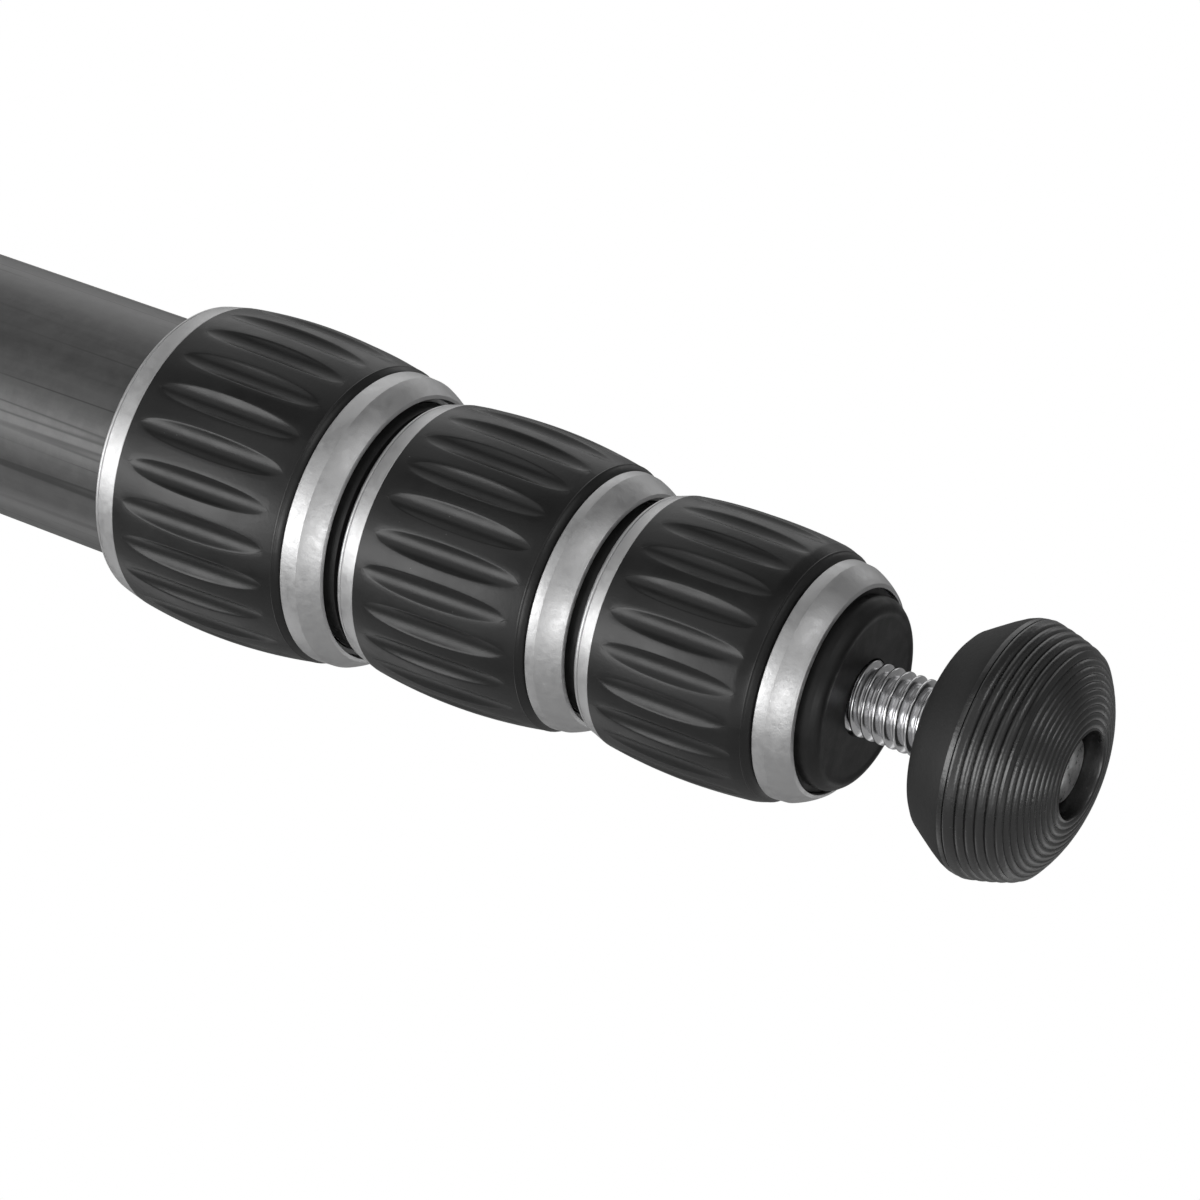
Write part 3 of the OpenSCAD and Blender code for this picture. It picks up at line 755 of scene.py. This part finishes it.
def satin_aluminium():
    """Fine-blasted aluminium: soft grain over faint cloudy patches in its tone, shine and level."""
    material, tree, shader = new_material("satin_aluminium")
    spot = own_place(tree)
    clouds = noise(tree, spot, Scale=1100, Detail=5, Roughness=0.62)
    colour = blend(tree, clouds, (0.51, 0.51, 0.515), grey(0.61))
    polish = ramp(tree, clouds, [(0.32, 0.37), (0.68, 0.52)])
    ripple = place(tree, "ShaderNodeBump", Height=clouds, Distance=0.04 * MM, Strength=1,
                   Normal=grain(tree, spot, 9000, 0.004 * MM))
    fill_inputs(tree, shader, Metallic=1, Base_Color=colour, Roughness=polish,
                Normal=ripple.outputs["Normal"])
    return material


def bright_steel(name, worn_from=1):
    """Bright stainless steel of the screws; past a height on the piece, in metres, it is scuffed dull."""
    material, tree, shader = new_material(name)
    spot = own_place(tree)
    marks = noise(tree, spot, Scale=900, Detail=4, Roughness=0.65)
    soft = noise(tree, spot, Scale=500, Detail=1)
    worn = past_height(tree, spot, worn_from)
    scuffs = ramp(tree, marks, [(0.38, 0.12), (0.44, 0.6), (0.62, 0.8)])
    colour = blend(tree, worn, (0.68, 0.68, 0.69), scuffs)
    clean = ramp(tree, marks, [(0.35, 0.17), (0.7, 0.2)])
    polish = blend(tree, worn, clean, grey(0.42))
    bump = place(tree, "ShaderNodeBump", Height=soft, Distance=0.003 * MM, Strength=1)
    fill_inputs(tree, shader, Metallic=1, Base_Color=colour, Roughness=polish,
                Normal=bump.outputs["Normal"])
    return material


def carbon_tube(name, placed):
    """Sanded carbon fibre under a satin coat: faint bands and fine dark cracks along the tube."""
    material, tree, shader = new_material(name)
    to_tube = placed.inverted()
    along = place(tree, "ShaderNodeMapping", Vector=own_place(tree), Location=to_tube.to_translation(),
                  Rotation=to_tube.to_euler())
    spot = along.outputs["Vector"]

    bands = streaks(tree, spot, Scale=330, Stretch=0.03)
    tone = ramp(tree, bands, [(0.3, 0.024), (0.5, 0.045), (0.7, 0.062)])
    spots = noise(tree, spot, Scale=620, Detail=4, Roughness=0.6)
    dull = ramp(tree, spots, [(0.4, 0), (0.7, 0.5)])
    mottled = blend(tree, dull, tone, grey(0.075))

    shifted = worked_out(tree, "ShaderNodeVectorMath", "ADD", spot, CRACK_SHIFT)
    lines = streaks(tree, shifted["Vector"], Scale=300, Stretch=0.012, Detail=1)
    thin = ramp(tree, lines, [(0.482, 0), (0.495, 1), (0.505, 1), (0.518, 0)])
    patches = streaks(tree, spot, Scale=130, Stretch=0.12, Detail=2)
    some = ramp(tree, patches, [(0.42, 0), (0.54, 0.85)])
    cracks = maths(tree, "MULTIPLY", thin, some)

    colour = blend(tree, cracks, mottled, grey(0.01))
    polish = ramp(tree, bands, [(0.3, 0.42), (0.7, 0.52)])
    worn = blend(tree, cracks, polish, grey(0.8))
    fine = streaks(tree, spot, Scale=2600, Stretch=0.02)
    bump = place(tree, "ShaderNodeBump", Height=fine, Distance=0.01 * MM, Strength=0.35)
    fill_inputs(tree, shader, Coat_Weight=0.65, Coat_Roughness=0.32, Base_Color=colour, Roughness=worn,
                Normal=bump.outputs["Normal"])
    return material


def black_plastic():
    """Moulded black plastic with a slightly uneven satin face."""
    material, tree, shader = new_material("black_plastic")
    spot = own_place(tree)
    patches = noise(tree, spot, Scale=340, Detail=4, Roughness=0.65)
    colour = blend(tree, patches, grey(0.007), grey(0.02))
    polish = ramp(tree, patches, [(0.35, 0.36), (0.65, 0.52)])
    fill_inputs(tree, shader, Specular_IOR_Level=0.26, Base_Color=colour, Roughness=polish,
                Normal=grain(tree, spot, 3200, 0.012 * MM))
    return material


def black_anodised():
    """Blasted and black anodised aluminium, with softened edges."""
    material, tree, shader = new_material("black_aluminium")
    spot = own_place(tree)
    tone = noise(tree, spot, Scale=150, Detail=3, Roughness=0.6)
    colour = blend(tree, tone, (0.03, 0.03, 0.032), (0.045, 0.045, 0.047))
    polish = ramp(tree, tone, [(0.35, 0.38), (0.65, 0.46)])
    edge = place(tree, "ShaderNodeBevel", Radius=0.6 * MM, Normal=grain(tree, spot, 5200, 0.01 * MM))
    edge.samples = 6
    fill_inputs(tree, shader, Metallic=0.6, Base_Color=colour, Roughness=polish,
                Normal=edge.outputs["Normal"])
    return material


# Stage


def aimed(at, point, axis):
    """The turn that points an object's axis from its place to a point."""
    return (point - at).to_track_quat(axis, "Y").to_euler()


def area_light(name, at, point, size, power):
    """A square lamp that shines on a point."""
    lamp = bpy.data.lights.new(name, "AREA")
    lamp.shape = "RECTANGLE"
    lamp.size = lamp.size_y = size
    lamp.energy = power
    light = bpy.data.objects.new(name, lamp)
    light.location = at
    light.rotation_euler = aimed(at, point, "-Z")
    bpy.context.scene.collection.objects.link(light)


def square(name, reach, material, at, turn=(0, 0, 0)):
    """A flat square that reaches this far to each side of its place."""
    corners = [(-reach, -reach, 0), (reach, -reach, 0), (reach, reach, 0), (-reach, reach, 0)]
    mesh = bpy.data.meshes.new(name)
    mesh.from_pydata(corners, [], [(0, 1, 2, 3)])
    mesh.materials.append(material)
    piece = bpy.data.objects.new(name, mesh)
    piece.location = at
    piece.rotation_euler = turn
    bpy.context.scene.collection.objects.link(piece)
    return piece


def show_where(tree, mask, surface):
    """Shows a surface where the mask is 1, and leaves the material clear elsewhere."""
    clear = tree.nodes.new("ShaderNodeBsdfTransparent")
    mix = place(tree, "ShaderNodeMixShader", Fac=mask)
    tree.links.new(clear.outputs["BSDF"], mix.inputs[1])
    tree.links.new(surface, mix.inputs[2])
    fill_inputs(tree, tree.nodes["Material Output"], Surface=mix.outputs["Shader"])


def near_feet(tree, feet):
    """A mask of 1 round each foot that fades out on all sides."""
    spot = own_place(tree)
    mask = 0
    for foot in feet:
        away = worked_out(tree, "ShaderNodeVectorMath", "DISTANCE", spot, foot)
        fade = place(tree, "ShaderNodeMapRange", Value=away["Value"], From_Min=FLOOR_CLEAR_FROM,
                     From_Max=FLOOR_CLEAR_AT, To_Min=1, To_Max=0)
        fade.interpolation_type = "SMOOTHSTEP"
        mask = maths(tree, "MAXIMUM", mask, fade.outputs["Result"])
    return mask


def seen_only_from_above(feet):
    """White floor with the object's shadow: only a camera above it sees it, and only near the feet."""
    material, tree, shader = new_material("floor")
    fill_inputs(tree, shader, Base_Color=(*grey(0.8), 1), Roughness=0.9, Emission_Color=(*grey(1), 1),
                Emission_Strength=FLOOR_LIFT)
    path = tree.nodes.new("ShaderNodeLightPath").outputs
    side = tree.nodes.new("ShaderNodeNewGeometry").outputs
    front = maths(tree, "SUBTRACT", 1, side["Backfacing"])
    shown = maths(tree, "MULTIPLY", path["Is Camera Ray"], front)
    near = maths(tree, "MULTIPLY", shown, near_feet(tree, feet))
    show_where(tree, near, shader.outputs["BSDF"])
    return material


def card_material(name, level):
    """Studio card of an even lightness: it shows in reflections, but not to the camera or lamps."""
    material, tree, shader = new_material(name)
    tree.nodes.remove(shader)
    glow = place(tree, "ShaderNodeEmission", Strength=level)
    path = tree.nodes.new("ShaderNodeLightPath").outputs
    mirrored = maths(tree, "MAXIMUM", path["Is Glossy Ray"], path["Is Diffuse Ray"])
    show_where(tree, mirrored, glow.outputs["Emission"])
    return material


def white_world():
    """White to the camera and in reflections; a plain soft level for the rest of the light."""
    world = bpy.data.worlds.new("studio")
    bpy.context.scene.world = world
    world.use_nodes = True
    tree = world.node_tree
    path = tree.nodes.new("ShaderNodeLightPath").outputs
    sharp = maths(tree, "MAXIMUM", path["Is Camera Ray"], path["Is Glossy Ray"])
    white = maths(tree, "MAXIMUM", sharp, path["Is Transmission Ray"])
    level = place(tree, "ShaderNodeMapRange", Value=white, To_Min=WORLD_LEVEL, To_Max=1)
    fill_inputs(tree, tree.nodes["Background"], Color=(*grey(1), 1), Strength=level.outputs["Result"])


def place_camera(to_world, eye):
    """A camera in the photograph's place, turned to look along its forward axis."""
    camera_data = bpy.data.cameras.new("camera")
    camera_data.sensor_width = SENSOR
    camera_data.lens = SENSOR * LENS_OVER_SENSOR
    camera_data.clip_start = 0.01
    camera_data.clip_end = 20
    camera = bpy.data.objects.new("camera", camera_data)
    flip = Matrix(((1, 0, 0), (0, -1, 0), (0, 0, -1)))
    camera.matrix_world = Matrix.Translation(eye) @ (to_world @ flip).to_4x4()
    bpy.context.scene.collection.objects.link(camera)
    bpy.context.scene.camera = camera


def stage_scene():
    """Camera, lamps and cards placed from the photograph's view of the leg's end, floor and world."""
    to_world, eye = view_frame()
    place_camera(to_world, eye)
    middle = leg_frame(1) @ Vector((0, 0, LOCKS[2]["at"]))
    for name, (direction, size, power) in LAMPS.items():
        at = middle + to_world @ (Vector(direction).normalized() * LAMP_DISTANCE)
        area_light(name, at, middle, size, power)
    for name, (direction, level) in CARDS.items():
        at = middle + to_world @ (Vector(direction).normalized() * CARD_DISTANCE)
        piece = square(name, CARD_DISTANCE, card_material(name, level), at, aimed(at, middle, "Z"))
    pads = [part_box(f"leg_{leg}_foot_pad") for leg in LEGS]
    sole = min(low[2] for low, high in pads)
    feet = [((low[0] + high[0]) / 2, (low[1] + high[1]) / 2, 0) for low, high in pads]
    floor = square("floor", FLOOR_REACH, seen_only_from_above(feet), (0, 0, sole - FLOOR_DROP))
    white_world()
    bpy.context.scene.view_settings.view_transform = "Standard"


# Assembly


def dress_cad_nodes(frame, finishes):
    """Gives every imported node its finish; carbon runs along its own leg, or up the column."""
    for entry in frame["record"]["subparts"]:
        name = entry["node"]
        finish = entry["material_slot"]
        if finish == "carbon":
            finish = next((f"carbon_{leg}" for leg in LEGS if name.startswith(f"leg_{leg}_")), "carbon")
        node = frame["nodes"][name]
        node.data.materials.clear()
        node.data.materials.append(finishes[finish])


def fit(piece, place_at, body, node):
    """Puts a piece in its place on a body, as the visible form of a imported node."""
    piece.matrix_world = place_at
    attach(piece, body)
    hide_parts(node)


def build_leg_ends(finishes):
    """The finely made pieces of all three legs; each mesh is made once and used three times."""
    grips = {n: grip_mesh(n) for n in LOCKS}
    sleeves = {n: sleeve_mesh(n) for n in LOCKS}
    cap = end_cap_mesh()
    stud = screw_mesh("stud", STUD_RADIUS, STUD_PITCH, STUD_START, STUD_END, chamfer=0.6 * MM)
    foot = foot_mesh()
    for piece in grips.values():
        piece.data.materials.append(finishes["grip_rubber"])
    for piece in sleeves.values():
        piece.data.materials.append(finishes["satin_aluminium"])
    cap.data.materials.append(finishes["black_plastic"])
    stud.data.materials.append(finishes["stud_steel"])
    foot.data.materials.append(finishes["foot_rubber"])

    facing = facing_angle()
    for leg in LEGS:
        base = leg_frame(leg)
        for n, lock in LOCKS.items():
            turn = Matrix.Rotation(facing + math.radians(lock["turn"]), 4, "Z")
            at = base @ Matrix.Translation((0, 0, lock["at"])) @ turn
            body = f"leg_{leg}_lock_{n}"
            fit(again(grips[n], f"leg_{leg}_grip_{n}"), at, body, f"{body}_grip")
            fit(again(sleeves[n], f"leg_{leg}_sleeve_{n}"), at, body, f"{body}_sleeve")
        fit(again(cap, f"leg_{leg}_cap"), base, f"leg_{leg}_section_4", f"leg_{leg}_end_cap")
        fit(again(stud, f"leg_{leg}_screw"), base, f"leg_{leg}_stud", f"leg_{leg}_foot_stud")
        at = base @ Matrix.Translation((0, 0, FOOT_BACK))
        fit(again(foot, f"leg_{leg}_rubber_foot"), at, f"leg_{leg}_foot", f"leg_{leg}_foot_pad")
    for piece in [*grips.values(), *sleeves.values(), cap, stud, foot]:
        bpy.data.objects.remove(piece)


def hexagon_head(steps=48):
    """The screw's plain neck through the plate and its hexagon head below, with a chamfered rim."""
    neck = HEAD_SCREW_RADIUS - NECK_DROP
    top = -PLATE_THICKNESS
    bottom = top - HEXAGON_HEIGHT
    side = math.pi / 3
    points = []
    rings = [
        (neck, 0, False),
        (neck, top, False),
        (HEXAGON_FLAT, top, False),
        (HEXAGON_RADIUS, top - HEXAGON_FALL, True),
        (HEXAGON_RADIUS, bottom + HEXAGON_FALL, True),
        (HEXAGON_FLAT, bottom, False),
    ]
    for radius, height, six_sided in rings:
        for i in range(steps):
            angle = 2 * math.pi * i / steps
            reach = radius
            if six_sided:
                from_corner = (angle + side / 2) % side - side / 2
                reach = radius * math.cos(side / 2) / math.cos(side / 2 - abs(from_corner))
            points.append((reach * math.cos(angle), reach * math.sin(angle), height))
    faces = []
    for k in range(len(rings) - 1):
        for i in range(steps):
            j = (i + 1) % steps
            faces.append((k * steps + i, (k + 1) * steps + i, (k + 1) * steps + j, k * steps + j))
    last = (len(rings) - 1) * steps
    faces.append(tuple(range(last + steps - 1, last - 1, -1)))
    faces.append(tuple(range(steps)))
    return new_piece("head_hexagon", points, faces, sharp_angle=30)


def build_head_screw(finishes):
    """The head screw with its 16 threads to the inch above the plate, and its neck and head below."""
    screw = screw_mesh("head_thread", HEAD_SCREW_RADIUS, HEAD_SCREW_PITCH, 0.02 * MM,
                       HEAD_SCREW_HEIGHT, chamfer=0.8 * MM, steps=64)
    for piece in (screw, hexagon_head()):
        piece.data.materials.append(finishes["stainless_steel"])
        fit(piece, Matrix.Identity(4), "column", "head_screw")


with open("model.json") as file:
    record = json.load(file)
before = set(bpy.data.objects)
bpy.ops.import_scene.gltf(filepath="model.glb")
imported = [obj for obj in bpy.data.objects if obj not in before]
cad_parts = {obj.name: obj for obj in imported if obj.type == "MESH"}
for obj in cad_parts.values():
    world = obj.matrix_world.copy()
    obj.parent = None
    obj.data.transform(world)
    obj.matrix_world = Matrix.Identity(4)
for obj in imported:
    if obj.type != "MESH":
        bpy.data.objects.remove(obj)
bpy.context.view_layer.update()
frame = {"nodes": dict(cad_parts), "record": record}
finishes = {
    "carbon": carbon_tube("carbon", Matrix.Identity(4)),
    "satin_aluminium": satin_aluminium(),
    "black_aluminium": black_anodised(),
    "black_plastic": black_plastic(),
    "grip_rubber": rubber("grip_rubber", shades=(0.002, 0.006), gloss=0.52, roughness=0.35,
                          grain_scale=3000, grain_height=0.01 * MM),
    # The foot's larger share of light specks is dust and painted glints on its ridges.
    "foot_rubber": rubber("foot_rubber", shades=(0.003, 0.008), gloss=1, roughness=0.3,
                          grain_scale=2400, grain_height=0.03 * MM, clear_of_dust_and_glints=0.82,
                          matte_below=FOOT_SEAM - 0.6 * MM),
    "stainless_steel": bright_steel("stainless_steel"),
    "stud_steel": bright_steel("stud_steel", worn_from=STUD_END - 0.05 * MM),
}
for leg in LEGS:
    finishes[f"carbon_{leg}"] = carbon_tube(f"carbon_{leg}", leg_frame(leg))
dress_cad_nodes(frame, finishes)
build_leg_ends(finishes)
build_head_screw(finishes)
stage_scene()
bpy.context.view_layer.update()
